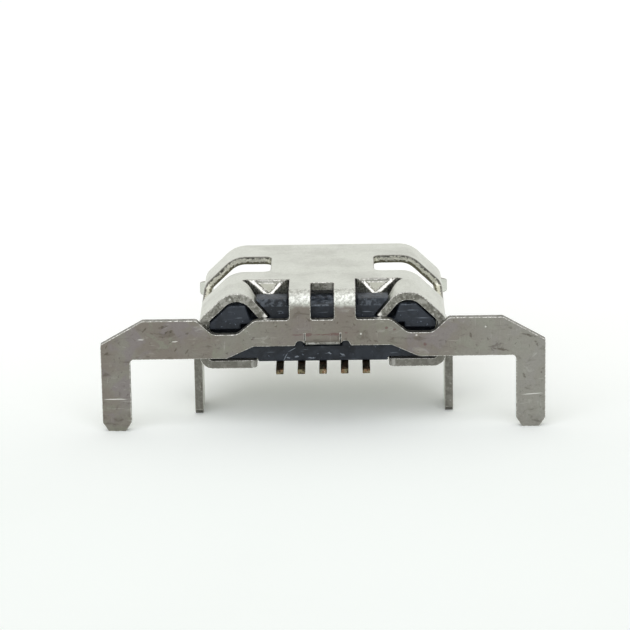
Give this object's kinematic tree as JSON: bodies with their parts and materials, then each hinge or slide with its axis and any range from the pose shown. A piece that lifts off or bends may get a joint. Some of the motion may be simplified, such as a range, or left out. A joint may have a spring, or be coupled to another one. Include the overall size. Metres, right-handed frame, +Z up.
{
  "type": "micro usb socket",
  "caption": "Board-mounted micro USB socket: folded metal shell with a horned rear plate and long through-board legs, black moulded housing and gold contacts.",
  "frame": {"origin": "on the plane of the leg tips, midway across the rear plate's horns and midway along from the contact tails' ends to the mouth", "axes": "+X to the right seen from behind, +Y out of the mouth, +Z up from the board"},
  "size_m": [0.0134, 0.0064, 0.0043],
  "materials": {
    "shell": "nickel-plated sheet, tarnished and lightly scratched",
    "housing": "black moulded resin, scuffed",
    "contacts": "pale gold plate, dull at the tails"
  },
  "bodies": {
    "root": {"shell": "shell", "insulator_housing": "housing", "contact_vbus": "contacts", "contact_d_minus": "contacts", "contact_d_plus": "contacts", "contact_id": "contacts", "contact_gnd": "contacts"}
  },
  "joints": []
}
